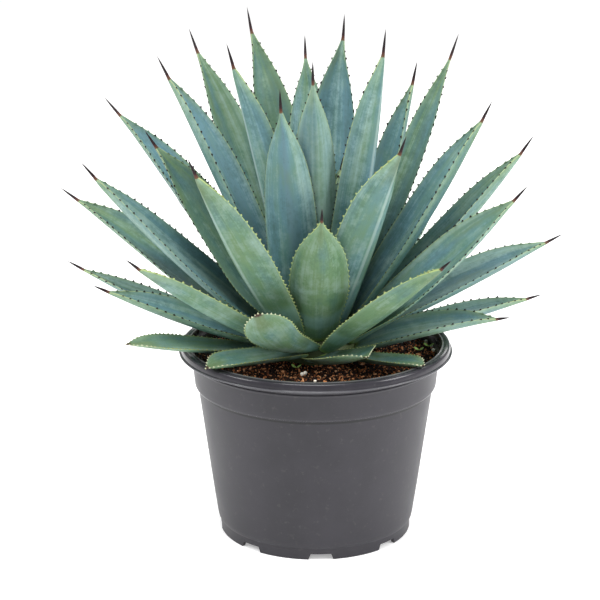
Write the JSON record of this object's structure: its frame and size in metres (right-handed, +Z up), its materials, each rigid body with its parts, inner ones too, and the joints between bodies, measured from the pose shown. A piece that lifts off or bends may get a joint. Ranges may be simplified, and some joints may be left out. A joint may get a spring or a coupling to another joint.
{
  "type": "potted agave",
  "caption": "Agave rosette of stiff, channelled, spine-tipped leaves growing from a short stem in a soil-filled round plastic nursery pot.",
  "frame": {"origin": "on the pot's axis, at the surface that the pot stands on", "axes": "+Z up, -Y towards the front of the plant, +X to its right"},
  "size_m": [0.4799, 0.2787, 0.4824],
  "materials": {
    "pot": "satin",
    "soil": "matte",
    "stem": "satin",
    "leaf": "satin"
  },
  "bodies": {
    "root": {"pot": "pot", "soil": "soil", "stem": "stem", "leaf_01": "leaf", "leaf_02": "leaf", "leaf_03": "leaf", "leaf_04": "leaf", "leaf_05": "leaf", "leaf_06": "leaf", "leaf_07": "leaf", "leaf_08": "leaf", "leaf_09": "leaf", "leaf_10": "leaf", "leaf_11": "leaf", "leaf_12": "leaf", "leaf_13": "leaf", "leaf_14": "leaf", "leaf_15": "leaf", "leaf_16": "leaf", "leaf_17": "leaf", "leaf_18": "leaf", "leaf_19": "leaf", "leaf_20": "leaf", "leaf_21": "leaf", "leaf_22": "leaf", "leaf_23": "leaf", "leaf_24": "leaf", "leaf_25": "leaf", "leaf_26": "leaf", "leaf_27": "leaf", "leaf_28": "leaf", "leaf_29": "leaf", "leaf_30": "leaf", "leaf_31": "leaf", "leaf_32": "leaf", "leaf_33": "leaf", "leaf_34": "leaf", "leaf_35": "leaf", "leaf_36": "leaf", "leaf_37": "leaf", "leaf_38": "leaf", "leaf_39": "leaf", "leaf_40": "leaf", "leaf_41": "leaf", "leaf_42": "leaf", "leaf_43": "leaf", "leaf_44": "leaf", "leaf_45": "leaf", "leaf_46": "leaf"}
  },
  "joints": []
}
